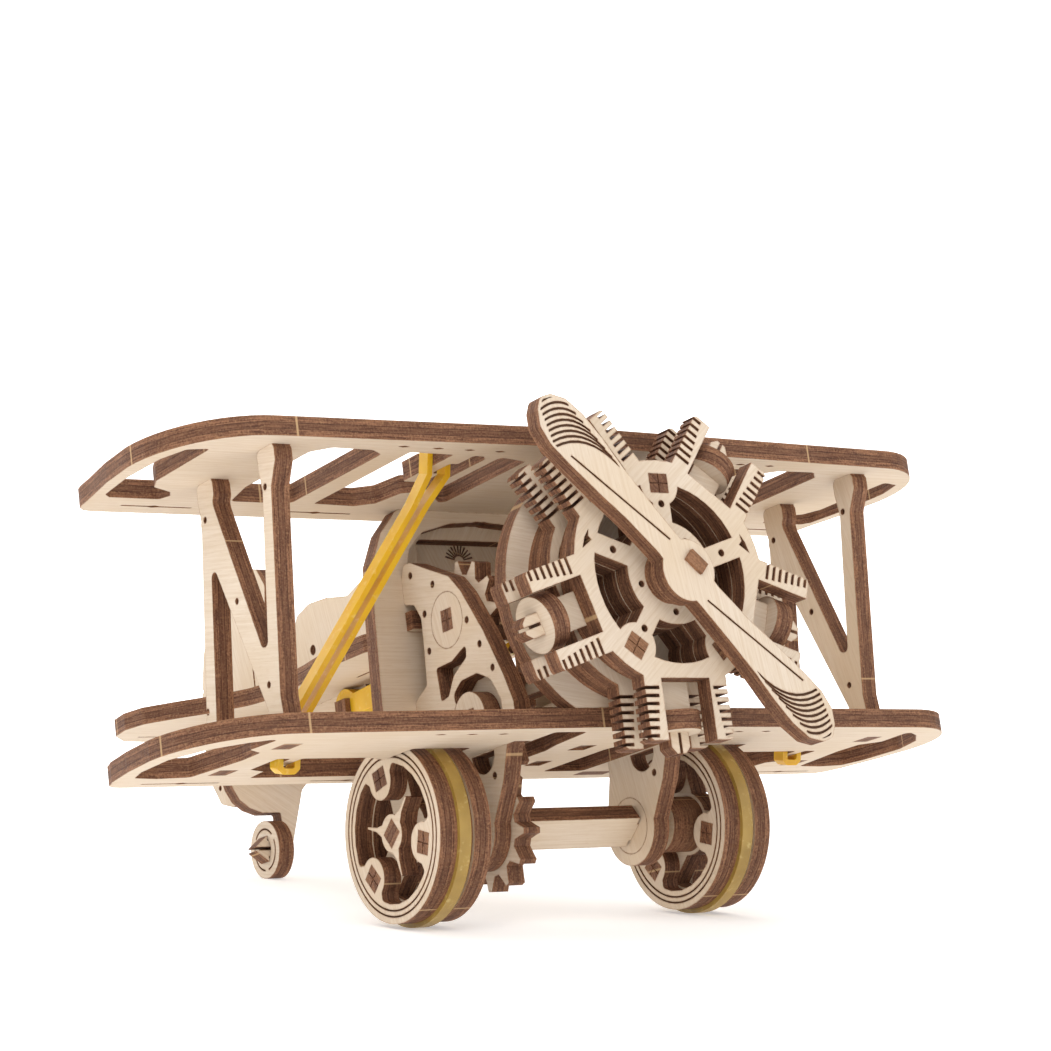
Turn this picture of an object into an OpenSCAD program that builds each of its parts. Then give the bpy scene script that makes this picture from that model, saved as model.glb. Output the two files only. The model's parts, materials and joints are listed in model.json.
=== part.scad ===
// Propeller plane model: a small biplane kit of laser-cut plywood plates with a rubber-band motor.
// It stands on its wheels at z = 0, nose towards -Y, port side towards +X.
// Inside on_wheels() the axes are the aeroplane's own: the lower wing's top is z = 0.

/* [Material] */
// Thickness of every plywood plate
ply = 3; // [2.8:0.1:3.2]
// Depth of an engraved line
engrave = 0.4; // [0.2:0.1:0.8]
// Long side of the square bars; the short side is one ply
bar_w = 3.4; // [3.2:0.1:3.8]
// Radial running clearance of the wooden bushes
running = 0.05; // [0.02:0.01:0.09]

/* [Wings] */
// Half of the wing span
half_span = 71.7; // [68:0.1:76]
// Height of the gap between the two wings
wing_gap = 40; // [38:0.5:44]
// Leading edge of the upper wing at the centre
upper_lead = -6.4; // [-8:0.1:-5.5]
// Leading edge of the lower wing at the centre
lower_lead = -4.8; // [-5:0.1:-3.5]
// Trailing edge of both wings
wing_trail = 38.6; // [36:0.1:40]
// Inner face of a wing strut, from the centre plane
strut_x = 53; // [52:0.5:54]

/* [Undercarriage] */
// Wheel disc radius
wheel_r = 13.5; // [12.5:0.1:14]
// Height of the tyre band above the wheel disc
tyre_stand = 0.7; // [0.5:0.1:1]
// Outer face of a wheel, from the centre plane
wheel_face_x = 30.9; // [30:0.1:33]
// Axle position along the fuselage
axle_y = 19.5; // [18:0.1:21]
// Axle height
axle_z = -14; // [-15:0.1:-13]
// Tail wheel radius
tail_wheel_r = 5.1; // [4.5:0.1:5.5]
// Tail wheel position along the fuselage
tail_wheel_y = 104; // [102:0.5:106]
// Tail wheel height
tail_wheel_z = -2.4; // [-3:0.1:-2]

/* [Gears] */
// Teeth of the three gears in the train
teeth = 12; // [12:1:12]
// Teeth of the propeller gear
prop_teeth = 16; // [16:1:16]
// How far the middle shaft sits ahead of the axle
middle_ahead = 3; // [2:0.1:3.5]
// Rise from one shaft to the next
shaft_rise = 16.55; // [16.2:0.05:17]

/* [Engine] */
// Front face of the front star plate
star_y = -16.8; // [-17.5:0.1:-16.5]
// Height of the propeller axis
prop_z = 17.8; // [17:0.1:18.5]
// Propeller radius
prop_r = 34; // [32:0.5:36]
// Turn of the propeller at rest
prop_turn = 131; // [0:1:180]

/* [Fuselage] */
// Outer face of the side plates, from the centre plane
side_x = 16.5; // [16:0.1:17]
// Front face of the cabane bulkhead
bulkhead_y = 31; // [30.5:0.1:32]
// Underside of the top deck
deck_z = 20; // [19:0.5:21]
// Distance from the axle to the middle of the whole model
middle_y = 37.4; // [30:0.1:40]

/* [Hidden] */
$fn = 48;
BIRCH = [0.88, 0.78, 0.62];
BURNT = [0.52, 0.36, 0.23];
RUBBER = [0.93, 0.72, 0.10];
OLIVE = [0.62, 0.60, 0.20];

// Where the aeroplane stands: both tyres and the tail wheel touch the ground.
tyre_r = wheel_r + tyre_stand;
tail_reach = norm([tail_wheel_y - axle_y, tail_wheel_z - axle_z]);
pitch = atan2(tail_wheel_z - axle_z, tail_wheel_y - axle_y) + asin((tyre_r - tail_wheel_r) / tail_reach);

// Shafts: [y, z] of the three cross shafts.
AXLE = [axle_y, axle_z];
MIDDLE = [axle_y - middle_ahead, axle_z + shaft_rise];
UPPER = [axle_y, axle_z + 2 * shaft_rise];

// Gears: equal pitch radii in the train; the propeller gear has the same tooth pitch.
gear_r = norm([middle_ahead, shaft_rise]) / 2;
prop_gear_r = gear_r * prop_teeth / teeth;
tooth_out = 1;
tooth_in = 1.3;
gear_x = -side_x + ply + 0.15;
prop_gear_y = 8.7;
phase_axle = atan2(shaft_rise, -middle_ahead);
phase_middle = mesh_phase(phase_axle, phase_axle, teeth, teeth);
phase_upper = mesh_phase(atan2(shaft_rise, middle_ahead), phase_middle, teeth, teeth);
phase_prop = 180 + (phase_upper - 180) * teeth / prop_teeth + 180 / prop_teeth
    + (prop_z - UPPER[1]) / prop_gear_r * 180 / PI;
axle_turn = 52;
bush_r = 4.4;

// Engine plates, front to back.
star_gap = 3.4;
core_y = star_y + ply + 0.2;
rear_star_y = star_y + ply + star_gap;
crankcase_y = rear_star_y + ply;
firewall_y = crankcase_y + ply;
washer_y = star_y - ply - 0.1;
prop_y = washer_y - ply;
cylinders = [for (i = [0:4]) 270 + 72 * i];
tie_angles = [90, 234, 306];
tie_r = 13.8;
slot_half = 4.45;
prong_half = 7.6;
prong_tip = 25.3;
head_r = 4.3;
head_u = 20.5;
prop_bush_r = 4;
prop_offset = 1.8;
shaft_turn = prop_turn + 7;
bearer_x = 7.05;
bearer_z = 4.9;
bearer_h = 2.7;

// Wing openings and rubber bands.
strut_tab = 4;
tongue_x = 20.5;
tongue_out = 24.2;
neck_x = 21.9;
tongue_end = 15.5;
low_tongue_x = 46.8;
low_tongue_w = 1.9;
low_tongue_end = 22.5;
band_y = 8;
band_w = 2.4;
band_t = 0.9;

// Tail.
deck_top = deck_z + ply;
keel_y = 66;
BAND_BAR = [72.5, 16.4];

// Gear phase that puts the next gear in mesh across a centre line at an angle.
function mesh_phase(line, phase, n1, n2) = line + 180 - (phase - line) * n1 / n2 + 180 / n2;

// Position of a strut leg's centre line at a height, front leg first.
function leg_y(i, z) = (i == 0 ? 7.2 : 26.6) - (i == 0 ? 0.125 : 0.14) * (z + 1.5);

// Stands the aeroplane on its wheels.
module on_wheels() {
    translate([0, -middle_y, tyre_r])
        rotate([-pitch, 0, 0])
            translate([0, -axle_y, -axle_z])
                children();
}

// Plates cut from sheet: level, across the fuselage, and along it.
module level_plate(z, t = ply) {
    translate([0, 0, z]) linear_extrude(t) children();
}
module cross_plate(y, t = ply) {
    translate([0, y + t, 0]) rotate([90, 0, 0]) linear_extrude(t) children();
}
module long_plate(x, t = ply) {
    translate([x, 0, 0]) rotate([90, 0, 90]) linear_extrude(t) children();
}

// Both sides of the centre plane.
module mirrored() {
    children();
    mirror([1, 0]) children();
}

// Rounds the outer and inner corners of a flat shape.
module eased(r) {
    offset(r, $fn = 24) offset(-2 * r, $fn = 24) offset(r, $fn = 24) children();
}

// Joins flat shapes that only touch into one outline, without a change of size.
module fused() {
    offset(delta = -0.001) offset(delta = 0.001) children();
}

// Rectangle from one corner to the other.
module patch(a, b) {
    translate(a) square(b - a);
}

// Rectangular hole for a bar, its long side along the first axis.
module bar_hole(turn = 0) {
    rotate(turn) square([bar_w, ply], center = true);
}

// Square bar along Z from 0 to a length, with a fine cross scored into both ends.
module scored_bar(length, w = bar_w, t = ply) {
    score = 0.22;
    difference() {
        translate([-w / 2, -t / 2, 0]) cube([w, t, length]);
        for (z = [-1, length - score]) {
            translate([-w, -score / 2, z]) cube([2 * w, score, 1 + score]);
            translate([-score / 2, -w, z]) cube([score, 2 * w, 1 + score]);
        }
    }
}

// Small round holes at a list of places.
module dots(r, places) {
    for (p = places) translate(p) circle(r, $fn = 16);
}

/* ---- wings ---- */

// Right half of a wing outline: straight edges, an elliptical front corner and a curved tip.
function wing_half(lead, lead_tip, corner_y, trail) = concat(
    [[0, lead]],
    [for (t = [0:7.5:90]) [57 + (half_span - 57) * sin(t), corner_y - (corner_y - lead_tip) * cos(t)]],
    [[half_span - 0.6, corner_y + 8], [half_span - 1.9, corner_y + 16]],
    [for (t = [0:30:90]) [66.2 + 3 * cos(t), trail - 3.3 + 3 * sin(t)]],
    [[0, trail - 0.7]]
);

module wing_outline(lead, lead_tip, corner_y, trail) {
    fused() mirrored() polygon(wing_half(lead, lead_tip, corner_y, trail));
}

// Slots for the strut tabs.
module strut_slots(z) {
    for (i = [0:1])
        patch([strut_x, leg_y(i, z) - strut_tab / 2], [strut_x + ply, leg_y(i, z) + strut_tab / 2]);
}

module upper_wing() on_wheels() color(BIRCH) {
    bay_rear = 30;
    difference() {
        level_plate(wing_gap) difference() {
            wing_outline(upper_lead, -4.1, 14.8, wing_trail);
            mirrored() strut_slots(wing_gap + ply / 2);
            mirrored() eased(0.6) polygon([
                [63.9, 3.9], [67.2, 4.8], [68.8, 10], [69.2, 20], [68.3, 29], [67, 30.4],
                [58.6, 30.4], [57.8, 28.4], [58.8, 26.4], [62.6, 24.2], [63.9, 21]
            ]);
            mirrored() eased(1.2) polygon([
                [36, bay_rear], [36, 2.5], [38.5, 0.5], [45.5, 0.3], [48, 3], [48.2, 22], [46.5, bay_rear]
            ]);
            mirrored() eased(0.5) difference() {
                polygon([
                    [17.6, 2.4], [18.6, 0.9], [32, 0.6], [32, bay_rear - 0.5], [24.5, bay_rear],
                    [21.6, 28], [20.6, 22], [17.6, 20.6]
                ]);
                upper_tongue();
            }
            mirrored() eased(0.8) polygon([[10, 2.4], [15.6, 0.9], [15.6, 19], [13, 24], [10, 27]]);
            mirrored() pad_tab_slot();
        }
        // shallow seat for the rubber band across each tongue
        level_plate(wing_gap + ply - engrave, 1) mirrored()
            patch([neck_x - 0.1, band_y - 2.6], [tongue_out + 0.1, band_y + 2.4]);
        // engraved flap lines and slits on the underside
        level_plate(wing_gap - 1, 1 + engrave) mirrored() {
            for (x = [22.5, 51]) {
                patch([x, 34.3], [x + 12, 34.7]);
                polygon([[x + 5, 34.5], [x + 6.5, 33.9], [x + 8, 34.5], [x + 6.5, 35.1]]);
            }
            for (x = [17.5, 23, 28.6, 34.6])
                polygon([[x - 1, -1.9], [x, -2.3], [x + 1, -1.9], [x, -1.5]]);
        }
    }
}

// Tongue for the rubber band, narrowed where the band sits.
module upper_tongue() {
    polygon([
        [tongue_x, -1], [tongue_out, -1], [tongue_out, tongue_end], [tongue_x, tongue_end],
        [tongue_x, band_y + 2.6], [neck_x, band_y + 2.6], [neck_x, band_y - 2.6], [tongue_x, band_y - 2.6]
    ]);
}

// Slot in the wing for a tab of the cabane bulkhead.
module pad_tab_slot() {
    patch([6, bulkhead_y], [12, bulkhead_y + ply]);
}

module lower_wing() on_wheels() color(BIRCH) {
    difference() {
        level_plate(-ply) difference() {
            wing_outline(lower_lead, -2.2, 16.6, wing_trail - 1.2);
            mirrored() strut_slots(-ply / 2);
            // openings on both sides of a centre strip, and the slots that the side plates drop through
            mirrored() eased(0.8) polygon([
                [7.6, -1.2], [13.4, -1.2], [13.4, 30.2], [5.6, 30.2], [5.5, 13], [6.6, 8.6]
            ]);
            mirrored() patch([side_x - ply, 5.2], [side_x, 23.2]);
            mirrored() patch([14, bulkhead_y], [20, bulkhead_y + ply]);
            mirrored() eased(0.8) polygon([
                [58.6, 1.5], [62.5, 4.2], [66.6, 9], [69, 16], [68.8, 25], [67.6, 29.6],
                [63.5, 30.4], [58.4, 29.7], [56.4, 17], [56.5, 11.6], [59.4, 9.3]
            ]);
            mirrored() eased(0.5) difference() {
                union() {
                    polygon([[27.5, 31], [30, 19], [35.5, 16.4], [51, 16.4], [51, 24.5], [48, 26], [47.5, 31]]);
                    // wheel well
                    patch([21.3, 10], [31.5, 29]);
                }
                patch([low_tongue_x, 15], [low_tongue_x + low_tongue_w, low_tongue_end]);
            }
        }
        level_plate(-ply - 1, 1 + engrave) for (y = [9.2, 21.4]) patch([-ply / 2, y], [ply / 2, y + 3.8]);
        level_plate(-ply - 1, 1 + engrave) mirrored() {
            for (x = [22, 51]) {
                patch([x, 34.3], [x + 13, 34.7]);
                polygon([[x + 5, 34.5], [x + 6.5, 33.9], [x + 8, 34.5], [x + 6.5, 35.1]]);
            }
            for (x = [22, 27.5, 33])
                polygon([[x - 1, -0.2], [x, -0.6], [x + 1, -0.2], [x, 0.2]]);
        }
    }
}

/* ---- struts ---- */

// N-shaped strut seen from the side: two leaning legs, a diagonal, and tabs into both wings.
module strut_profile() {
    leg = 1.4;
    head = 2.5;
    for (i = [0:1]) {
        patch([leg_y(i, wing_gap + ply / 2) - strut_tab / 2, wing_gap - 0.5],
              [leg_y(i, wing_gap + ply / 2) + strut_tab / 2, wing_gap + ply]);
        patch([leg_y(i, -ply / 2) - strut_tab / 2, -ply], [leg_y(i, -ply / 2) + strut_tab / 2, 0.5]);
    }
    difference() {
        eased(0.9) union() {
            for (i = [0:1]) polygon([
                [leg_y(i, 0) - head, 0], [leg_y(i, 0) + head, 0], [leg_y(i, 4) + leg, 5],
                [leg_y(i, 36) + leg, 34], [leg_y(i, wing_gap) + head, 37.5], [leg_y(i, wing_gap) + head, wing_gap],
                [leg_y(i, wing_gap) - head, wing_gap], [leg_y(i, wing_gap) - head, 37.5],
                [leg_y(i, 34) - leg, 34], [leg_y(i, 5) - leg, 4]
            ]);
            polygon([
                [leg_y(1, 34) + leg, 34], [leg_y(1, 37) - 2, 38], [leg_y(1, 37) - 2.6, 35.5],
                [8.7, 11.8], [leg_y(0, 12) + 0.8, 11.6], [leg_y(0, 10), 2], [leg_y(0, 5) + 2.4, 2.6],
                [leg_y(1, 28) - 1.6, 28], [leg_y(1, 28), 27]
            ]);
        }
        dots(0.5, [[21.6, 34.4], [14.6, 20.2], [7.9, 6.2], [3.1, 34.4], [26.6, 6.2]]);
    }
}

module wing_strut_starboard() on_wheels() color(BIRCH) long_plate(-strut_x - ply) strut_profile();
module wing_strut_port() on_wheels() color(BIRCH) long_plate(strut_x) strut_profile();

/* ---- fuselage front ---- */

// Side plate: engine bearer, bearing plate and landing leg in one piece.
module side_profile() {
    leg_r = 6.3;
    difference() {
        union() {
            eased(0.8) polygon([
                [bulkhead_y, 28.6], [30, 30.6], [28, 30.4], [24, 28.5], [17.6, 25.6], [14.8, 22.6],
                [10, 15.2], [6, 7.4], [4.2, 3], [4.2, 0], [bulkhead_y, 0], [bulkhead_y, 8.6],
                [27.2, 10.4], [26.8, 15.5], [26.6, 21], [28.2, 23.6], [bulkhead_y, 24.2]
            ]);
            polygon([
                [5.2, 1], [5.2, -1.5], [7.3, -3.1], [9.4, -8.2], [axle_y - leg_r, axle_z],
                [axle_y + leg_r, axle_z], [23.2, -5], [23.2, 1]
            ]);
            translate(AXLE) circle(leg_r);
        }
        eased(0.5) polygon([
            [24, 12.4], [19.5, 12.5], [15, 14.2], [15.4, 12.2], [19.4, 10.2], [21.4, 7.4], [23.6, 7]
        ]);
        eased(1.1) polygon([
            [19.8, 5.8], [20, 7.4], [17.5, 9], [13, 9.2], [9.6, 7.6], [7.4, 4], [7.4, 1.4], [13, 1.4]
        ]);
        for (c = [AXLE, MIDDLE, UPPER])
            translate(c) circle(bush_r + running);
        intersection() {
            translate([14, -ply - 0.2]) circle(3.1);
            patch([10, -10], [18, -ply - 0.2]);
        }
        dots(0.55, [
            [28.3, 28.4], [22.3, 25.5], [25.5, 21.5], [14, 17.8], [25.4, 15.5], [11.3, 13.4], [8.6, 9.1], [11.5, -7]
        ]);
    }
}

module side_plate_starboard() on_wheels() color(BIRCH) long_plate(-side_x) side_profile();
module side_plate_port() on_wheels() color(BIRCH) long_plate(side_x - ply) side_profile();

// Cabane bulkhead: an arch that carries the upper wing and lets the motor band through.
module cabane_bulkhead() on_wheels() color(BIRCH) cross_plate(bulkhead_y) difference() {
    fused() {
        eased(1) mirrored() polygon([
            [-1, wing_gap], [16, wing_gap], [19.4, 36], [21.6, 30.9], [22.2, 23], [22.7, 8], [22.7, 0],
            [-1, 0]
        ]);
        mirrored() patch([6, wing_gap - 2], [12, wing_gap + ply]);
        mirrored() patch([14, -ply], [20, 2]);
        mirrored() patch([6.5, 0], [22, 1.5]);
    }
    eased(1.4) mirrored() polygon([
        [-1, -2], [6.5, -2], [5.6, 4], [5.5, 24.2], [14.8, 24.2], [15.4, 29], [14.4, 33.5], [11.5, 36.4],
        [6, 38], [-1, 38.5]
    ]);
    bearer_holes();
    mirrored() patch([10, deck_z], [side_x, deck_top]);
}

module dash_board() on_wheels() color(BIRCH) cross_plate(bulkhead_y + ply) difference() {
    eased(1) polygon([
        [-15.6, deck_top], [15.6, deck_top], [17, 30], [15.4, 36.6], [12, 39.4], [-12, 39.4], [-15.4, 36.6], [-17, 30]
    ]);
    eased(1) patch([-11, 31], [11, 36]);
}

// Instrument panel with a sunburst of engraved rays, seen through the slot.
module instrument_panel() on_wheels() color(BIRCH) difference() {
    cross_plate(bulkhead_y + 2 * ply) eased(1) polygon([
        [-13, deck_top], [13, deck_top], [14, 33], [12, 37.8], [-12, 37.8], [-14, 33]
    ]);
    for (a = [15:15:165])
        translate([-1, bulkhead_y + 2 * ply, 33.4])
            rotate([0, -a, 0]) translate([0.9, -engrave, -0.12]) cube([1.8, 2 * engrave, 0.24]);
}

// Bars that tie the firewall to the bulkhead.
module bearer_holes() {
    mirrored() patch([bearer_x, bearer_z], [bearer_x + ply, bearer_z + bearer_h]);
}
module engine_bearer(x) {
    translate([x, firewall_y, bearer_z]) cube([ply, bulkhead_y + ply - firewall_y, bearer_h]);
}
module engine_bearer_starboard() on_wheels() color(BIRCH) engine_bearer(-bearer_x - ply);
module engine_bearer_port() on_wheels() color(BIRCH) engine_bearer(bearer_x);

/* ---- engine ---- */

// Holes for the tie bars.
module tie_holes(angles = tie_angles) {
    for (a = angles)
        rotate(a) translate([tie_r, 0]) bar_hole(90);
}

module firewall() on_wheels() color(BIRCH) cross_plate(firewall_y) difference() {
    translate([0, prop_z]) difference() {
        circle(21.2, $fn = 96);
        circle(prop_bush_r + running);
        tie_holes([tie_angles[0]]);
        for (a = [198, 342]) rotate(a) translate([14, 0]) circle(3.4);
        rotate(270) translate([13, 0]) circle(3);
    }
    patch([-25, -10], [25, 0]);
    bearer_holes();
}

module crankcase_disc() on_wheels() color(BIRCH) cross_plate(crankcase_y) translate([0, prop_z]) difference() {
    circle(17.2, $fn = 96);
    circle(3);
    tie_holes();
}

// Windows between the five spokes, with lobes around the tie bars.
module star_windows() {
    difference() {
        circle(13.8);
        circle(7.9);
        for (c = cylinders) rotate(c + 180) patch([0, -1.6], [15, 1.6]);
        for (a = tie_angles) rotate(a) translate([tie_r, 0]) circle(3.5);
    }
}

// One cylinder seen from the front: two prongs with fin slots along their outer edges.
module cylinder_comb() {
    first = 17.2;
    step = 1.2;
    slit = 0.5;
    edge = [for (i = [0:6], p = [
        [first + step * i, prong_half], [first + step * i, prong_half - 2.6 + 0.18 * i],
        [first + step * i + slit, prong_half - 2.6 + 0.18 * i], [first + step * i + slit, prong_half]
    ]) p];
    tip = [[prong_tip - 0.3, prong_half], [prong_tip, prong_half - 0.5]];
    far_edge = [for (i = [len(edge) - 1:-1:0]) [edge[i][0], -edge[i][1]]];
    polygon(concat([[10, prong_half]], edge, tip,
        [[prong_tip, -prong_half + 0.5], [prong_tip - 0.3, -prong_half]], far_edge, [[10, -prong_half]]));
}

// Slender three-pointed hole.
module leaf_hole() {
    polygon([[-0.6, 1.6], [-0.35, 0.5], [-0.9, -0.1], [-0.2, -0.6], [0.9, -1.4], [0.3, 0.3]]);
}

module star_shape(hub_bore) {
    difference() {
        fused() difference() {
            union() {
                circle(17.4);
                for (c = cylinders) rotate(c) cylinder_comb();
            }
            for (c = cylinders) rotate(c) patch([16, -slot_half], [30, slot_half]);
            star_windows();
        }
        circle(hub_bore);
        tie_holes();
        translate([15.4 * cos(18), 15.4 * sin(18)]) leaf_hole();
        mirror([1, 0]) translate([15.4 * cos(18), 15.4 * sin(18)]) leaf_hole();
        for (c = cylinders) {
            rotate(c) dots(0.5, [[6, 0]]);
            rotate(c + 180) dots(0.55, [[10.6, 0]]);
        }
    }
}

module star_front() on_wheels() color(BIRCH) cross_plate(star_y) translate([0, prop_z])
    star_shape(prop_bush_r + running);
module star_rear() on_wheels() color(BIRCH) cross_plate(rear_star_y) translate([0, prop_z]) star_shape(3);

// Middle plate: a ring with five arms, each ending in a split tab for the cylinder heads.
module star_core() on_wheels() color(BIRCH) cross_plate(core_y) translate([0, prop_z]) difference() {
    union() {
        circle(15.8);
        for (c = cylinders) rotate(c) {
            patch([10, -2.7], [head_u, 2.7]);
            polygon([
                [10, -bar_w / 2], [25.7, -bar_w / 2], [26.7, -0.8], [26.7, 0.8], [25.7, bar_w / 2], [10, bar_w / 2]
            ]);
        }
    }
    star_windows();
    circle(3);
    tie_holes();
    for (c = cylinders) rotate(c) patch([23.6, -0.25], [28, 0.25]);
}

module star_tie_bars() on_wheels() color(BURNT) for (a = tie_angles)
    translate([0, firewall_y + (a == tie_angles[0] ? ply : 0), prop_z]) rotate([90, 0, 0])
        rotate(a) translate([tie_r, 0, 0]) rotate(90)
            scored_bar(firewall_y + (a == tie_angles[0] ? ply : 0) - star_y);

// Ring of five round cylinder heads, one disc on each arm of the core.
module head_ring(u) {
    for (c = cylinders)
        translate([0, core_y + ply / 2, prop_z]) rotate([0, 90 - c, 0]) translate([0, 0, u])
            linear_extrude(ply) difference() {
                circle(head_r);
                bar_hole();
            }
}
module cylinder_heads() on_wheels() color(BIRCH) head_ring(head_u);

/* ---- propeller ---- */

// One blade along +X, with a rounded tip that leans to one side.
module blade() {
    eased(1) polygon([
        [-2, 3], [5, 2.2], [12, 2.7], [18, 3.6], [24, 4.3], [28, 4.6], [31, 4], [prop_r - 1, 2.4], [prop_r, 0.6],
        [prop_r - 0.8, -1.2], [31, -2.8], [27.5, -3.4], [23, -3.3], [18, -2.8], [12, -2.6], [5, -2.5], [-2, -3]
    ]);
}

// Point on a curve from a to b that is drawn towards c.
function curve(a, c, b, t) = (1 - t) * (1 - t) * a + 2 * t * (1 - t) * c + t * t * b;

// Nine curved grooves across a blade tip, and a line along the blade.
module blade_grooves() {
    intersection() {
        offset(-0.45, $fn = 24) blade();
        for (i = [0:8]) {
            from = [33.3 - 0.76 * i, 1.8 + 0.34 * i];
            bend = [33.2 - 0.96 * i, -1 - 0.1 * i];
            to = [31.6 - 1.69 * i, -2.3];
            arc = [for (t = [0:0.125:1]) curve(from, bend, to, t)];
            polygon(concat(arc, [for (t = [1:-0.125:0]) curve(from, bend, to, t) + [0.28, -0.28]]));
        }
    }
    polygon([[5.2, -1.1], [24.7, 3], [24.7, 3.3], [5.2, -0.8]]);
}

// Rectangular hole for the thinned front end of the shaft.
module shaft_end() {
    rotate(shaft_turn) square([bar_w, 2], center = true);
}

module propeller() on_wheels() color(BIRCH) translate([0, 0, prop_z]) difference() {
    cross_plate(prop_y) difference() {
        rotate(prop_turn) translate([0, prop_offset]) union() {
            blade();
            rotate(180) blade();
            circle(4.7);
        }
        shaft_end();
    }
    for (half = [0, 180])
        cross_plate(prop_y - 1, 1 + engrave) rotate(prop_turn) translate([0, prop_offset]) rotate(half)
            blade_grooves();
}

module propeller_washer() on_wheels() color(BIRCH) cross_plate(washer_y) translate([0, prop_z]) difference() {
    rotate(prop_turn) translate([0, 1]) circle(4.2);
    shaft_end();
}

// The bar runs from the propeller's face to the back of its gear; its front end is thinner.
module propeller_shaft() on_wheels() color(BURNT) {
    cross_plate(prop_y - 0.6, star_y - prop_y + 0.6) translate([0, prop_z]) shaft_end();
    cross_plate(star_y, prop_gear_y + ply - star_y) translate([0, prop_z]) bar_hole(shaft_turn);
}

module propeller_bushes() on_wheels() color(BIRCH) for (y = [star_y, firewall_y])
    cross_plate(y) translate([0, prop_z]) difference() {
        circle(prop_bush_r);
        bar_hole(shaft_turn);
    }

/* ---- gears and shafts ---- */

// Gear with tapered teeth; the first tooth points along its phase angle.
module gear(n, r, phase, hole_turn) {
    pitch_w = 1.5;
    tip_w = 0.85;
    root_w = 2.5;
    difference() {
        union() {
            circle(r - tooth_in);
            for (i = [0:n - 1]) rotate(phase + 360 / n * i) polygon([
                [r - tooth_in - 0.6, -root_w / 2], [r - tooth_in, -root_w / 2], [r, -pitch_w / 2],
                [r + tooth_out, -tip_w / 2], [r + tooth_out, tip_w / 2], [r, pitch_w / 2],
                [r - tooth_in, root_w / 2], [r - tooth_in - 0.6, root_w / 2]
            ]);
        }
        bar_hole(hole_turn);
    }
}

module propeller_gear() on_wheels() color(BIRCH) cross_plate(prop_gear_y) translate([0, prop_z])
    gear(prop_teeth, prop_gear_r, phase_prop, shaft_turn);
module upper_gear() on_wheels() color(BIRCH) long_plate(gear_x) translate(UPPER)
    gear(teeth, gear_r, phase_upper, 90);
module middle_gear() on_wheels() color(BIRCH) long_plate(gear_x) translate(MIDDLE)
    gear(teeth, gear_r, phase_middle, 90);
module axle_gear() on_wheels() color(BIRCH) long_plate(gear_x) translate(AXLE)
    gear(teeth, gear_r, phase_axle, -90 + axle_turn);

// Cross shaft between the two side plates.
module cross_shaft(at, turn) {
    translate([-side_x, at[0], at[1]]) rotate([90, 0, 90]) rotate(turn) scored_bar(2 * side_x);
}
module upper_shaft() on_wheels() color(BURNT) cross_shaft(UPPER, 90);
module middle_shaft() on_wheels() color(BURNT) cross_shaft(MIDDLE, 90);

// Round bushes that turn in the side plates' bores.
module bush_pair(at, turn) {
    for (x = [-side_x, side_x - ply])
        long_plate(x) translate(at) difference() {
            circle(bush_r);
            bar_hole(turn);
        }
}
module upper_bushes() on_wheels() color(BIRCH) bush_pair(UPPER, 90);
module middle_bushes() on_wheels() color(BIRCH) bush_pair(MIDDLE, 90);
module axle_bushes() on_wheels() color(BIRCH) bush_pair(AXLE, axle_turn - 90);

/* ---- main wheels ---- */

// Plate bar that is wider between the legs than at its ends.
module main_axle() on_wheels() color(BIRCH) translate([0, axle_y, axle_z]) rotate([axle_turn - 90, 0, 0]) {
    long_plate(-wheel_face_x, 2 * wheel_face_x) square([bar_w, ply], center = true);
    long_plate(gear_x + ply, side_x - ply - 0.3 - gear_x - ply) square([6, ply], center = true);
}

module axle_washers() on_wheels() color(BIRCH) for (x = [-wheel_face_x + 2 * ply, wheel_face_x - 4 * ply])
    long_plate(x, 2 * ply) translate(AXLE) difference() {
        circle(bush_r);
        bar_hole(axle_turn - 90);
    }

// Holes for the three pins that hold a wheel's discs together.
module pin_holes() {
    for (i = [0:2]) rotate(79 + 120 * i) translate([8.8, 0]) bar_hole(90);
}

module wheel_middle() {
    difference() {
        circle(wheel_r - 0.5, $fn = 96);
        difference() {
            circle(10.2);
            circle(5);
            for (i = [0:2]) rotate(79 + 120 * i) patch([0, -2.9], [12, 2.9]);
        }
        bar_hole(axle_turn - 90);
        pin_holes();
    }
}

// Rim with three inward lobes around the pins.
module wheel_rim() {
    difference() {
        circle(wheel_r, $fn = 96);
        eased(0.7) difference() {
            circle(10.6);
            for (i = [0:2]) rotate(79 + 120 * i) {
                translate([8.6, 0]) circle(3.1);
                polygon([[9, -3.4], [12, -5.6], [12, 5.6], [9, 3.4]]);
            }
        }
        pin_holes();
    }
}

// Two rings engraved in the rim's outer face.
module rim_rings() {
    for (r = [11.5, 12.4]) difference() {
        circle(r + 0.14, $fn = 96);
        circle(r - 0.14, $fn = 96);
    }
}

// Hub plate with three thin spikes.
module hub_star() {
    difference() {
        union() {
            circle(2.9);
            for (i = [0:2]) rotate(17 + 120 * i) polygon([[2, -1.2], [4.2, -0.35], [6.8, -0.15], [6.8, 0.15],
                [4.2, 0.35], [2, 1.2]]);
        }
        bar_hole(axle_turn - 90);
    }
}

module tyre_band() {
    difference() {
        circle(tyre_r, $fn = 96);
        circle(wheel_r - 0.5, $fn = 96);
    }
}

// Places a wheel plate: layer 0 is outermost; side is -1 to starboard, 1 to port.
module wheel_layer(side, layer, t = ply) {
    x = side < 0 ? -wheel_face_x + layer * ply : wheel_face_x - layer * ply - t;
    long_plate(x, t) translate(AXLE) children();
}

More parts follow.
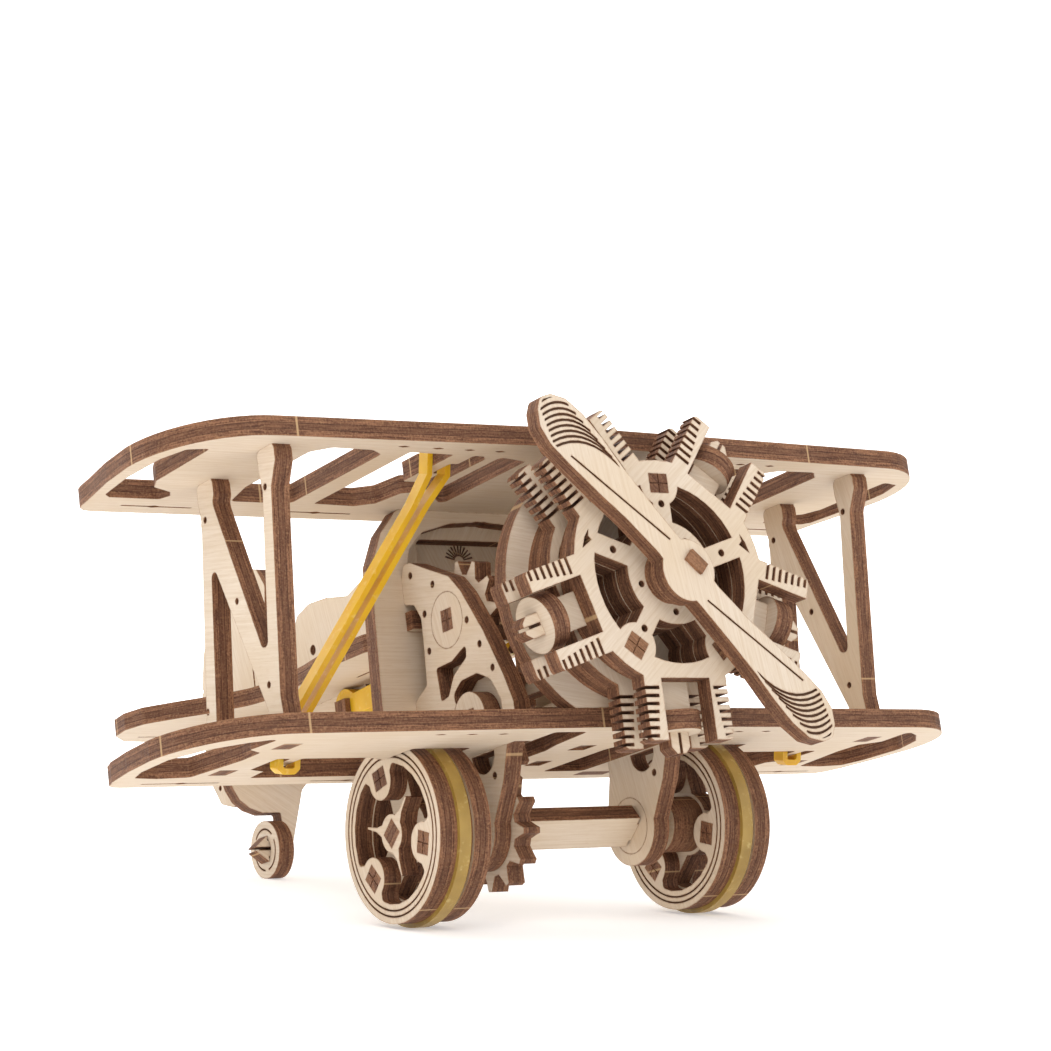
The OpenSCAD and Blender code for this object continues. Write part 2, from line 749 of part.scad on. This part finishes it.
// Rim plate with engraved rings on its open face: layer 0 faces out, layer 2 faces the fuselage.
module engraved_rim(side, layer) {
    face = side * (layer == 0 ? wheel_face_x : wheel_face_x - 3 * ply);
    difference() {
        wheel_layer(side, layer) wheel_rim();
        long_plate(face - engrave, 2 * engrave) translate(AXLE) rim_rings();
    }
}

module wheel_inner_starboard() on_wheels() color(BIRCH) engraved_rim(-1, 2);
module wheel_middle_starboard() on_wheels() color(BIRCH) wheel_layer(-1, 1) wheel_middle();
module wheel_outer_starboard() on_wheels() color(BIRCH) engraved_rim(-1, 0);
module hub_star_starboard() on_wheels() color(BIRCH) wheel_layer(-1, 0) hub_star();
module tyre_band_starboard() on_wheels() color(OLIVE)
    long_plate(-wheel_face_x + ply, 2) translate(AXLE) tyre_band();
module wheel_inner_port() on_wheels() color(BIRCH) engraved_rim(1, 2);
module wheel_middle_port() on_wheels() color(BIRCH) wheel_layer(1, 1) wheel_middle();
module wheel_outer_port() on_wheels() color(BIRCH) engraved_rim(1, 0);
module hub_star_port() on_wheels() color(BIRCH) wheel_layer(1, 0) hub_star();
module tyre_band_port() on_wheels() color(OLIVE)
    long_plate(wheel_face_x - 2 * ply, 2) translate(AXLE) tyre_band();

module wheel_pins() on_wheels() color(BURNT) for (x = [-wheel_face_x, wheel_face_x - 3 * ply], i = [0:2])
    translate([x, AXLE[0], AXLE[1]]) rotate([90, 0, 90]) rotate(79 + 120 * i) translate([8.8, 0, 0])
        rotate(90) scored_bar(3 * ply);

/* ---- tail ---- */

// Deck and stabiliser in one plate, with front tabs through the bulkhead.
module top_deck() on_wheels() color(BIRCH) {
    front = bulkhead_y + ply;
    difference() {
        level_plate(deck_z) difference() {
            fused() {
                eased(1.5) mirrored() polygon([
                    [-1, front + 3 * ply - 1], [14, front + 3 * ply - 1], [15.6, 46], [16, 56], [14, 68], [13, 80],
                    [14.6, 86], [18.5, 92], [23.5, 97], [27.4, 101.5], [28.6, 106.5], [27.8, 112], [24, 116.4],
                    [14, 118], [6, 116.5], [-1, 116.5]
                ]);
                mirrored() patch([10, bulkhead_y - 1.8], [side_x, bulkhead_y + ply]);
                mirrored() patch([10, bulkhead_y], [14, front + 3 * ply + 1]);
            }
            // slots for the fin, the keel's tab and the tail leg's tabs
            patch([-ply / 2, 99], [ply / 2, 126]);
            patch([-ply / 2, keel_y + 8], [ply / 2, keel_y + 14]);
            patch([-ply / 2, keel_y + 22], [ply / 2, keel_y + 28]);
            mirrored() patch([4.5, tail_wheel_y - ply / 2], [8, tail_wheel_y + ply / 2]);
        }
        level_plate(deck_z - 1, 1 + engrave) mirrored() {
            patch([6, 48], [6.4, 64]);
            patch([17, 112.5], [23, 112.9]);
        }
    }
}

// Pilot's headrest fairing on the deck, on the centre plane.
module headrest() on_wheels() color(BIRCH) difference() {
    long_plate(-ply / 2) difference() {
        eased(1.5) polygon([
            [52, deck_top], [54, 33], [58, 38.6], [62.5, 39.4], [67, 37.6], [72, 36.2], [79, 37.6],
            [85, 38], [89.5, 36.8], [92.4, 32.5], [94, deck_top]
        ]);
        translate([85.2, 29.7]) circle(0.9, $fn = 24);
    }
    long_plate(-ply / 2 - 1, 1 + engrave) patch([86, 26.4], [91, 26.8]);
}

// Keel below the deck, with a hole for the bar that anchors the motor band.
module tail_keel() on_wheels() color(BIRCH) long_plate(-ply / 2) difference() {
    union() {
    eased(0.4) polygon([
        [keel_y + 3, deck_z], [keel_y + 3.2, deck_z - 5.4], [keel_y + 4.6, deck_z - 8.4],
        [keel_y + 14, deck_z - 10], [98.5, 8.4], [99, 9], [99, deck_z]
    ]);
    patch([keel_y + 8, deck_z - 1], [keel_y + 14, deck_top]);
    patch([keel_y + 22, deck_z - 1], [keel_y + 28, deck_top]);
    }
    translate(BAND_BAR) bar_hole();
}

// Short bar through the keel that anchors the motor band.
module band_bar() on_wheels() color(BURNT) long_plate(-5, 10) translate(BAND_BAR) bar_hole();

// Fin and rudder: a comb along the rear edge, and a slot over the deck.
module fin() on_wheels() color(BIRCH) long_plate(-ply / 2) difference() {
    union() {
        eased(1) polygon([
            [99, deck_top], [100.5, 30], [101, 38], [99.6, 45], [102, 48.6], [107, 50], [114, 48],
            [120, 44], [124.6, 38], [126.6, 31], [127, 23], [126.6, 14], [123.5, 9.4], [119, 8], [114, 9.4],
            [110, 12], [107, 12.6], [105.6, 16], [105.6, deck_top]
        ]);
        patch([99, deck_z], [106, deck_top + 1]);
    }
    for (i = [0:8]) translate([127.3, 24 + 1.9 * i]) rotate(8 + 3 * i)
        square([2.4, 0.7], center = true);
    translate([123.4, 12.4]) circle(0.5, $fn = 24);
    patch([106.6, 26], [107, 42]);
}

// Tail leg: a cross plate that carries the split stub of the tail wheel.
module tail_leg() on_wheels() color(BIRCH) cross_plate(tail_wheel_y - ply / 2) fused() {
    stub = 1.4;
    mirrored() patch([4.5, deck_z - 2], [8, deck_top]);
    difference() {
        eased(0.4) polygon([
            [-11.6, deck_z], [-11.4, 12], [-10.6, 8.6], [-9.4, 6.4], [-7.5, 4.9], [-5, 4], [-1.4, 4],
            [-1.2, tail_wheel_z - 2.2], [-0.2, tail_wheel_z - 2.2], [0.4, tail_wheel_z + 0.5], [3.5, 8],
            [8.6, 13], [9.5, deck_z]
        ]);
        patch([-ply / 2, 11], [ply / 2, deck_z + 1]);
    }
    difference() {
        translate([0, tail_wheel_z]) polygon([
            [-0.4, stub], [-4.7, stub], [-4.7, 2.3], [-7, 0.5], [-7, -0.5], [-4.7, -2.3], [-4.7, -stub], [-0.4, -stub]
        ]);
        translate([0, tail_wheel_z]) patch([-8, -0.3], [-2.2, 0.3]);
    }
}

module tail_wheel() on_wheels() color(BIRCH) difference() {
    long_plate(-1.5 - ply) translate([tail_wheel_y, tail_wheel_z]) difference() {
        circle(tail_wheel_r);
        circle(norm([ply / 2, 1.4]) + running);
    }
    long_plate(-1.5 - ply - 1, 1 + engrave) translate([tail_wheel_y, tail_wheel_z]) difference() {
        circle(3.8);
        circle(3.5);
        for (a = [30, 150, 270]) rotate(a) patch([0, -0.6], [6, 0.6]);
    }
}

/* ---- rubber ---- */

// Wound rubber beside the keel: an eye around the upper shaft, a bunch of strands, an eye around the bar.
module motor_band() on_wheels() color(RUBBER) {
    reach = norm(BAND_BAR - UPPER);
    turn = atan2(BAND_BAR[1] - UPPER[1], BAND_BAR[0] - UPPER[0]);
    for (x = [-4, 1.6]) long_plate(x, 2.4) translate(UPPER) rotate(turn) difference() {
        eased(1.5) union() {
            circle(3.6);
            patch([0, -1.9], [reach, 1.9]);
            translate([reach, 0]) circle(3.4);
        }
        circle(2.6);
        translate([reach, 0]) rotate(-turn) offset(0.05) bar_hole();
    }
}

// Loop around the two wing tongues; its plane leans aft on the way down.
module rigging_band() {
    lean = 15.3;
    k = 1 / cos(lean);
    translate([0, band_y, wing_gap]) rotate([lean, 0, 0])
        translate([0, band_w / 2, -wing_gap * k]) rotate([90, 0, 0]) linear_extrude(band_w) difference() {
            offset(band_t / 2, $fn = 24) rigging_path(k);
            offset(-band_t / 2) rigging_path(k);
        }
}

// Centre line of the loop: the two strands lie close together between the tongues.
module rigging_path(k) {
    half = band_t / 2 + 0.03;
    near = 1.05;
    low_tongue_out = low_tongue_x + low_tongue_w;
    top = (wing_gap + ply + 0.5) * k;
    low = (-ply - 1.1) * k;
    from = [(neck_x + tongue_out) / 2, (wing_gap - 1) * k];
    to = [(low_tongue_x + low_tongue_out) / 2, k];
    upper = from + 0.12 * (to - from);
    lower = from + 0.92 * (to - from);
    polygon([
        [neck_x - half, top], [tongue_out + half, top], [tongue_out + half, from[1]],
        upper + [near, 0], lower + [near, 0], [low_tongue_out + half, to[1]], [low_tongue_out + half, low + 0.5],
        [low_tongue_out - 0.1, low], [low_tongue_x + 0.1, low], [low_tongue_x - half, low + 0.5],
        [low_tongue_x - half, to[1]], lower - [near, 0], upper - [near, 0], [neck_x - half, from[1]]
    ]);
}

module rigging_band_port() on_wheels() color(RUBBER) rigging_band();
module rigging_band_starboard() on_wheels() color(RUBBER) mirror([1, 0, 0]) rigging_band();

/* ---- placed parts ---- */

upper_wing();
lower_wing();
wing_strut_starboard();
wing_strut_port();
side_plate_starboard();
side_plate_port();
cabane_bulkhead();
dash_board();
instrument_panel();
engine_bearer_starboard();
engine_bearer_port();
firewall();
crankcase_disc();
star_rear();
star_core();
star_front();
star_tie_bars();
cylinder_heads();
propeller();
propeller_washer();
propeller_shaft();
propeller_bushes();
propeller_gear();
upper_shaft();
upper_gear();
upper_bushes();
middle_shaft();
middle_gear();
middle_bushes();
main_axle();
axle_gear();
axle_bushes();
axle_washers();
wheel_inner_starboard();
wheel_middle_starboard();
wheel_outer_starboard();
hub_star_starboard();
tyre_band_starboard();
wheel_inner_port();
wheel_middle_port();
wheel_outer_port();
hub_star_port();
tyre_band_port();
wheel_pins();
top_deck();
headrest();
tail_keel();
fin();
tail_leg();
tail_wheel();
band_bar();
motor_band();
rigging_band_starboard();
rigging_band_port();
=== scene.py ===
"""Looks for the propeller plane model: laser-cut plywood plates, scorched edges and rubber bands."""

import json
import math

import bpy
from mathutils import Matrix, Vector

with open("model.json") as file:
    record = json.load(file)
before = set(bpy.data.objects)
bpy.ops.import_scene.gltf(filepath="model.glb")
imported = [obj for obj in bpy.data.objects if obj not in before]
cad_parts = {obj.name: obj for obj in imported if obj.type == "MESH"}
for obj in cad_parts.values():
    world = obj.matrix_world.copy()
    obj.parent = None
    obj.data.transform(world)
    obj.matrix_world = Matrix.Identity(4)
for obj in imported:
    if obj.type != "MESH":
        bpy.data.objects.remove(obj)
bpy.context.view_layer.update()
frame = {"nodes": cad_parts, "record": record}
MM = 0.001
PLY = 3 * MM

# ---- the aeroplane's own axes, taken from the record's joints ----
JOINTS = {joint["name"]: joint for joint in frame["record"]["behaviour"]["joints"]}
AXLE = Vector(JOINTS["axle_spin"]["pos_m"])
AFT = -Vector(JOINTS["propeller_spin"]["axis"])
PORT = Vector((1, 0, 0))
UP = PORT.cross(AFT)
AXLE_Y = 19.5
AXLE_Z = -14.0
PROP_Z = 17.8

# ---- colours, as 8-bit display values ----
BIRCH_LIGHT = (222, 206, 187)
BIRCH_DARK = (210, 190, 166)
BIRCH_CLOUD = (212, 190, 161)
BIRCH_PORE = (186, 155, 118)
SOOT = (150, 104, 66)
# recess floor colour: partly the laser burn, partly painted shade of the recess depth
ENGRAVED_BURN_AND_SHADE = (96, 62, 40)
EDGE_DARK = (84, 52, 38)
EDGE_LIGHT = (150, 106, 78)
EDGE_TAN = (168, 128, 92)
EDGE_BLACK = (70, 44, 32)
EDGE_CORE = (84, 54, 40)
EDGE_RIM = (164, 122, 88)
GLUE_LINE = (58, 36, 28)
BRIDGE = (214, 178, 132)
RUBBER_DUST = (250, 232, 160)
YELLOW_RUBBER = ((230, 184, 36), (218, 168, 20))
OLIVE_RUBBER = ((174, 142, 70), (148, 118, 52))
PAPER = ((250, 250, 250), (246, 246, 246))

# ---- light and camera ----
LIGHTS = [
    ("key", (-0.7, -0.9, 0.9), 0.9, 7.2, (1.0, 0.985, 0.975)),
    ("fill", (0.9, -0.8, 0.5), 0.9, 2.4, (0.98, 0.98, 1.0)),
    ("top", (0.0, 0.3, 1.3), 1.2, 5.0, (1.0, 1.0, 1.0)),
]
LIGHT_TARGET = (0, 0, 0.04)
SKY_COLOUR = (1.0, 0.995, 0.985, 1)
SKY_STRENGTH = 0.5
FLOOR_GLOW_NEAR = 0.36
FLOOR_GLOW_FAR = 1.0
CAMERA_PLACE = (-270.968, -362.227, -76.316)
CAMERA_AZIMUTH = -35.503
CAMERA_ELEVATION = -13.212
CAMERA_ROLL = -7.231
CAMERA_LENS = 103.45
CAMERA_SHIFT = (-0.0042, 0.0061)


def direction(x, y, z):
    """A direction given in the aeroplane's axes: port, aft, up."""
    return PORT * x + AFT * y + UP * z


def place(x, y, z):
    """A point given in the aeroplane's axes in millimetres."""
    return AXLE + direction(x, y - AXLE_Y, z - AXLE_Z) * MM


# ---- small helpers ----
def srgb(red, green, blue):
    """Linear colour from an 8-bit display colour."""
    out = []
    for value in (red, green, blue):
        value = value / 255
        out.append(value / 12.92 if value <= 0.04045 else ((value + 0.055) / 1.055) ** 2.4)
    return (*out, 1.0)


class Graph:
    """Builds a node tree with short calls."""

    def __init__(self, tree):
        self.tree = tree

    def node(self, kind, **settings):
        made = self.tree.nodes.new(kind)
        for key, value in settings.items():
            setattr(made, key, value)
        return made

    def feed(self, socket, value):
        if hasattr(value, "is_output"):
            self.tree.links.new(value, socket)
        else:
            socket.default_value = value

    def math(self, operation, first, second=0.0, third=0.0):
        made = self.node("ShaderNodeMath", operation=operation)
        self.feed(made.inputs[0], first)
        self.feed(made.inputs[1], second)
        self.feed(made.inputs[2], third)
        return made.outputs[0]

    def vector(self, operation, first, second=(0, 0, 0)):
        made = self.node("ShaderNodeVectorMath", operation=operation)
        self.feed(made.inputs[0], first)
        self.feed(made.inputs[1], second)
        return made.outputs["Value"] if operation in ("DOT_PRODUCT", "LENGTH") else made.outputs[0]

    def ramp(self, value, low, high, out_low=0.0, out_high=1.0):
        made = self.node("ShaderNodeMapRange", interpolation_type="SMOOTHSTEP", clamp=True)
        for socket, item in zip(made.inputs, (value, low, high, out_low, out_high)):
            self.feed(socket, item)
        return made.outputs[0]

    def mix(self, factor, first, second, blend="MIX"):
        made = self.node("ShaderNodeMix", data_type="RGBA", blend_type=blend, clamp_factor=True)
        self.feed(made.inputs[0], factor)
        self.feed(made.inputs[6], first)
        self.feed(made.inputs[7], second)
        return made.outputs[2]

    def noise(self, vector, scale, detail=3.0, roughness=0.55):
        made = self.node("ShaderNodeTexNoise")
        self.feed(made.inputs["Vector"], vector)
        made.inputs["Scale"].default_value = scale
        made.inputs["Detail"].default_value = detail
        made.inputs["Roughness"].default_value = roughness
        return made.outputs[0]

    def combine(self, x, y, z):
        made = self.node("ShaderNodeCombineXYZ")
        for socket, item in zip(made.inputs, (x, y, z)):
            self.feed(socket, item)
        return made.outputs[0]


def new_material(name):
    material = bpy.data.materials.new(name)
    material.use_nodes = True
    material.node_tree.nodes.clear()
    return material, Graph(material.node_tree)


def heights(obj, axis):
    """Lowest and highest point of a mesh along an axis."""
    values = [axis.dot(vertex.co) for vertex in obj.data.vertices]
    return min(values), max(values)


def wood(name, axis, grain, low, high, burnt_and_shaded_recesses=True, centre=None, charred=False):
    """Birch plywood cut by laser: pale faces across the axis, scorched layered edges.

    With a centre the plates face away from that point; a charred piece is brown all over.
    """
    material, g = new_material(name)
    coords = g.node("ShaderNodeTexCoord")
    point = coords.outputs["Object"]
    normal = coords.outputs["Normal"]
    axis = axis.normalized()
    grain = (grain - axis * grain.dot(axis)).normalized()
    across = axis.cross(grain)
    along_axis = g.vector("DOT_PRODUCT", point, axis)
    along_grain = g.vector("DOT_PRODUCT", point, grain)
    along_cross = g.vector("DOT_PRODUCT", point, across)
    facing_axis = axis
    if centre:
        outward = g.vector("SUBTRACT", point, tuple(centre))
        forward = g.node("ShaderNodeVectorMath", operation="SCALE")
        g.feed(forward.inputs[0], CROSS)
        g.feed(forward.inputs["Scale"], g.vector("DOT_PRODUCT", outward, CROSS))
        outward = g.vector("SUBTRACT", outward, forward.outputs[0])
        along_axis = g.vector("LENGTH", outward)
        facing_axis = g.vector("NORMALIZE", outward)
    depth = g.math("MULTIPLY", g.math("SUBTRACT", along_axis, low), 1 / (high - low))
    facing = g.math("ABSOLUTE", g.vector("DOT_PRODUCT", normal, facing_axis))
    on_face = 0.0 if charred else g.ramp(facing, 0.9 if centre else 0.6, 0.97 if centre else 0.8)
    # pale birch with fine fibres and soft clouds
    fibre_space = g.combine(g.math("MULTIPLY", along_grain, 90), g.math("MULTIPLY", along_cross, 2600), 0.0)
    fibre = g.noise(fibre_space, 1.0, 3.0, 0.6)
    pore_space = g.combine(g.math("MULTIPLY", along_grain, 500), g.math("MULTIPLY", along_cross, 6000), 3.0)
    pore = g.ramp(g.noise(pore_space, 1.0, 1.0, 0.4), 0.60, 0.74)
    cloud = g.noise(point, 55.0, 2.0, 0.5)
    face = g.mix(g.ramp(fibre, 0.3, 0.75), srgb(*BIRCH_LIGHT), srgb(*BIRCH_DARK))
    face = g.mix(g.ramp(cloud, 0.35, 0.7), face, g.mix(0.5, face, srgb(*BIRCH_CLOUD)))
    face = g.mix(g.math("MULTIPLY", pore, 0.22), face, srgb(*BIRCH_PORE))
    # soot that creeps onto the faces along every cut
    rounded = g.node("ShaderNodeBevel", samples=6)
    rounded.inputs["Radius"].default_value = 0.45 * MM
    to_object = g.node("ShaderNodeVectorTransform", vector_type="NORMAL",
                       convert_from="WORLD", convert_to="OBJECT")
    g.feed(to_object.inputs[0], rounded.outputs[0])
    local_normal = g.vector("NORMALIZE", to_object.outputs[0])
    bend = g.math("ABSOLUTE", g.vector("DOT_PRODUCT", local_normal, facing_axis))
    soot = g.ramp(bend, 0.80, 0.995, 1.0, 0.0)
    soot = g.math("MULTIPLY", soot, g.ramp(g.noise(point, 900.0, 2.0), 0.3, 0.7, 0.25, 0.8))
    face = g.mix(soot, face, srgb(*SOOT))
    # layered edge: three plies, glue lines, streaks along the cut and a few unburnt bridges
    streak_space = g.combine(g.math("MULTIPLY", along_grain, 260), g.math("MULTIPLY", along_cross, 260),
                             g.math("MULTIPLY", along_axis, 5200))
    streak = g.noise(streak_space, 1.0, 3.0, 0.6)
    speckle = g.noise(point, 3200.0, 2.0, 0.6)
    brown = g.mix(g.ramp(streak, 0.28, 0.72), srgb(*EDGE_DARK), srgb(*EDGE_LIGHT))
    brown = g.mix(g.math("MULTIPLY", g.ramp(speckle, 0.5, 0.7), 0.5), brown, srgb(*EDGE_TAN))
    brown = g.mix(g.math("MULTIPLY", g.ramp(speckle, 0.46, 0.3), 0.6), brown, srgb(*EDGE_BLACK))
    middle = g.math("ABSOLUTE", g.math("SUBTRACT", depth, 0.5))
    core = g.ramp(middle, 0.14, 0.18, 1.0, 0.0)
    brown = g.mix(g.math("MULTIPLY", core, 0.4), brown, srgb(*EDGE_CORE))
    glue = g.ramp(g.math("ABSOLUTE", g.math("SUBTRACT", middle, 0.16)), 0.012, 0.04, 1.0, 0.0)
    brown = g.mix(g.math("MULTIPLY", glue, 0.55), brown, srgb(*GLUE_LINE))
    brown = g.mix(g.math("MULTIPLY", g.ramp(middle, 0.40, 0.5), 0.3), brown, srgb(*EDGE_RIM))
    rhythm = g.math("FRACT", g.math("MULTIPLY", g.math("ADD", along_grain, along_cross), 21.3))
    bridge = g.ramp(g.math("ABSOLUTE", g.math("SUBTRACT", rhythm, 0.5)), 0.002, 0.005, 1.0, 0.0)
    brown = g.mix(g.math("MULTIPLY", bridge, 0.6), brown, srgb(*BRIDGE))
    colour = g.mix(on_face, brown, face)
    # engraved recess floors get a dark brown that is partly the laser burn and partly painted shade of the
    # recess depth
    if burnt_and_shaded_recesses:
        inside = g.math("MULTIPLY", g.ramp(depth, 0.02, 0.04), g.ramp(depth, 0.98, 0.96))
        recess_burn_and_shade = g.math("MULTIPLY", inside, on_face)
        colour = g.mix(g.math("MULTIPLY", recess_burn_and_shade, 0.92), colour, srgb(*ENGRAVED_BURN_AND_SHADE))
    shader = g.node("ShaderNodeBsdfPrincipled")
    g.feed(shader.inputs["Base Color"], colour)
    g.feed(shader.inputs["Roughness"], g.ramp(fibre, 0.3, 0.7, 0.62, 0.78))
    shader.inputs["Specular IOR Level"].default_value = 0.25
    bump = g.node("ShaderNodeBump")
    bump.inputs["Strength"].default_value = 0.35
    bump.inputs["Distance"].default_value = 0.06 * MM
    g.feed(bump.inputs["Height"], g.mix(on_face, streak, fibre))
    g.feed(shader.inputs["Normal"], bump.outputs[0])
    output = g.node("ShaderNodeOutputMaterial")
    g.feed(output.inputs["Surface"], shader.outputs[0])
    return material


def rubber(name, tones, through):
    """Soft rubber band: slightly translucent, with dusty streaks."""
    material, g = new_material(name)
    coords = g.node("ShaderNodeTexCoord")
    dust = g.noise(coords.outputs["Object"], 700.0, 3.0, 0.6)
    cloud = g.noise(coords.outputs["Object"], 160.0, 2.0, 0.5)
    colour = g.mix(g.ramp(cloud, 0.3, 0.7), srgb(*tones[0]), srgb(*tones[1]))
    colour = g.mix(g.math("MULTIPLY", g.ramp(dust, 0.55, 0.75), 0.25), colour, srgb(*RUBBER_DUST))
    shader = g.node("ShaderNodeBsdfPrincipled")
    g.feed(shader.inputs["Base Color"], colour)
    shader.inputs["Roughness"].default_value = 0.42
    shader.inputs["Subsurface Weight"].default_value = through
    shader.inputs["Subsurface Radius"].default_value = (1.0, 0.6, 0.1)
    shader.inputs["Subsurface Scale"].default_value = 1.2 * MM
    bump = g.node("ShaderNodeBump")
    bump.inputs["Strength"].default_value = 0.3
    bump.inputs["Distance"].default_value = 0.05 * MM
    g.feed(bump.inputs["Height"], dust)
    g.feed(shader.inputs["Normal"], bump.outputs[0])
    output = g.node("ShaderNodeOutputMaterial")
    g.feed(output.inputs["Surface"], shader.outputs[0])
    return material


# ---- which way each plate lies ----
LEVEL = direction(0, 0, 1)
CROSS = direction(0, 1, 0)
LONG = direction(1, 0, 0)
LEVEL_NODES = ["upper_wing", "lower_wing", "top_deck"]
CROSS_NODES = [
    "cabane_bulkhead", "dash_board", "instrument_panel", "firewall", "crankcase_disc", "star_rear",
    "star_core", "star_front", "propeller", "propeller_washer", "propeller_bushes", "propeller_gear",
    "tail_leg",
]
LONG_NODES = [
    "wing_strut_starboard", "wing_strut_port", "side_plate_starboard", "side_plate_port",
    "engine_bearer_starboard", "engine_bearer_port", "upper_gear", "upper_bushes", "middle_gear",
    "middle_bushes", "axle_gear", "axle_bushes", "axle_washers",
    "wheel_inner_starboard", "wheel_middle_starboard", "wheel_outer_starboard", "hub_star_starboard",
    "wheel_inner_port", "wheel_middle_port", "wheel_outer_port", "hub_star_port",
    "headrest", "tail_keel", "fin", "tail_wheel",
]
GROUPED = {"propeller_bushes", "upper_bushes", "middle_bushes", "axle_bushes", "axle_washers"}
SPAN_GRAIN = direction(1, 0, 0)
LENGTH_GRAIN = direction(0, 1, 0.2)
RISE_GRAIN = direction(0, 0.25, 1)


def paint(node, material):
    """Give a CAD piece one material."""
    materials = frame["nodes"][node].data.materials
    materials.clear()
    materials.append(material)


def dress(node, axis, grain, charred=False):
    """Paint a plate whose faces look along an axis with its own plywood."""
    low, high = heights(frame["nodes"][node], axis)
    paint(node, wood("wood_" + node, axis, grain, low, high, node not in GROUPED, None, charred))


for node in LEVEL_NODES:
    dress(node, LEVEL, SPAN_GRAIN)
for index, node in enumerate(CROSS_NODES):
    dress(node, CROSS, direction(math.cos(index), 0, math.sin(index)))
for index, node in enumerate(LONG_NODES):
    dress(node, LONG, RISE_GRAIN if index % 2 else LENGTH_GRAIN)
for node in ("star_tie_bars", "propeller_shaft"):
    dress(node, direction(1, 0, 1), CROSS, True)
for node in ("upper_shaft", "middle_shaft", "wheel_pins", "band_bar"):
    dress(node, CROSS, LONG, True)
dress("main_axle", direction(0, 0.616, 0.788), LONG)
HEAD_FOOT = 20.5 * MM
paint("cylinder_heads", wood("wood_cylinder_heads", CROSS, LONG, HEAD_FOOT, HEAD_FOOT + PLY, False,
                             place(0, 0, PROP_Z)))

YELLOW = rubber("yellow_rubber", YELLOW_RUBBER, 0.35)
OLIVE = rubber("olive_rubber", OLIVE_RUBBER, 0.1)
for node in ("motor_band", "rigging_band_starboard", "rigging_band_port"):
    paint(node, YELLOW)
for node in ("tyre_band_starboard", "tyre_band_port"):
    paint(node, OLIVE)
for node, width in (("motor_band", 0.28), ("rigging_band_starboard", 0.5), ("rigging_band_port", 0.5),
                    ("tyre_band_starboard", 0.5), ("tyre_band_port", 0.5)):
    rounding = frame["nodes"][node].modifiers.new("rounding", "BEVEL")
    rounding.width = width * MM
    rounding.segments = 4
    rounding.limit_method = "ANGLE"
    rounding.angle_limit = math.radians(40)


# ---- stage: white sweep, soft light, camera ----
def sweep_floor():
    """A floor that curves up into a wall, before and behind the model."""
    half_width = 3.0
    wall_y = 2.2
    bend = 0.8
    profile = []
    for step in range(13):
        angle = math.radians(90 * step / 12)
        profile.append((wall_y - bend + bend * math.sin(angle), bend - bend * math.cos(angle)))
    profile.append((wall_y, 3.0))
    profile = [(-2.5, 0.0)] + profile
    verts = []
    for y, z in profile:
        verts.append((-half_width, y, z))
        verts.append((half_width, y, z))
    faces = [(2 * i, 2 * i + 1, 2 * i + 3, 2 * i + 2) for i in range(len(profile) - 1)]
    mesh = bpy.data.meshes.new("floor")
    mesh.from_pydata(verts, [], faces)
    obj = bpy.data.objects.new("floor", mesh)
    bpy.context.scene.collection.objects.link(obj)
    for polygon in mesh.polygons:
        polygon.use_smooth = True
    material, g = new_material("white_paper")
    shader = g.node("ShaderNodeBsdfPrincipled")
    grain = g.noise(g.node("ShaderNodeTexCoord").outputs["Object"], 400.0, 2.0)
    g.feed(shader.inputs["Base Color"], g.mix(grain, srgb(*PAPER[0]), srgb(*PAPER[1])))
    shader.inputs["Roughness"].default_value = 0.9
    shader.inputs["Specular IOR Level"].default_value = 0.1
    shader.inputs["Emission Color"].default_value = (1, 1, 1, 1)
    away = g.vector("LENGTH", g.node("ShaderNodeTexCoord").outputs["Object"])
    g.feed(shader.inputs["Emission Strength"], g.ramp(away, 0.1, 0.5, FLOOR_GLOW_NEAR, FLOOR_GLOW_FAR))
    output = g.node("ShaderNodeOutputMaterial")
    g.feed(output.inputs["Surface"], shader.outputs[0])
    mesh.materials.append(material)


def area_light(name, position, size, power, colour):
    """A square lamp that looks at the model."""
    data = bpy.data.lights.new(name, "AREA")
    data.shape = "RECTANGLE"
    data.size = size
    data.size_y = size
    data.energy = power
    data.color = colour
    obj = bpy.data.objects.new(name, data)
    obj.location = position
    aim = Vector(LIGHT_TARGET) - Vector(position)
    obj.rotation_euler = aim.to_track_quat("-Z", "Y").to_euler()
    bpy.context.scene.collection.objects.link(obj)


def camera():
    """The viewing place and angle, in the aeroplane's axes."""
    azimuth = math.radians(CAMERA_AZIMUTH)
    elevation = math.radians(CAMERA_ELEVATION)
    roll = math.radians(CAMERA_ROLL)
    flat = math.cos(elevation)
    back = Vector((math.sin(azimuth) * flat, -math.cos(azimuth) * flat, math.sin(elevation)))
    right = (-back).cross(Vector((0, 0, 1))).normalized()
    up = right.cross(-back)
    right_rolled = right * math.cos(roll) + up * math.sin(roll)
    up_rolled = up * math.cos(roll) - right * math.sin(roll)
    columns = [direction(*item) for item in (right_rolled, up_rolled, back)]
    data = bpy.data.cameras.new("camera")
    data.sensor_width = 36
    data.lens = CAMERA_LENS
    data.shift_x = CAMERA_SHIFT[0]
    data.shift_y = CAMERA_SHIFT[1]
    data.clip_start = 0.01
    obj = bpy.data.objects.new("camera", data)
    rotation = Matrix([[columns[j][i] for j in range(3)] for i in range(3)])
    obj.matrix_world = Matrix.Translation(place(*CAMERA_PLACE)) @ rotation.to_4x4()
    bpy.context.scene.collection.objects.link(obj)
    bpy.context.scene.camera = obj


sweep_floor()
world = bpy.data.worlds.new("studio")
bpy.context.scene.world = world
world.use_nodes = True
world.node_tree.nodes["Background"].inputs[0].default_value = SKY_COLOUR
world.node_tree.nodes["Background"].inputs[1].default_value = SKY_STRENGTH
for light in LIGHTS:
    area_light(*light)
camera()
bpy.context.scene.view_settings.view_transform = "Standard"
bpy.context.scene.view_settings.exposure = 0.0
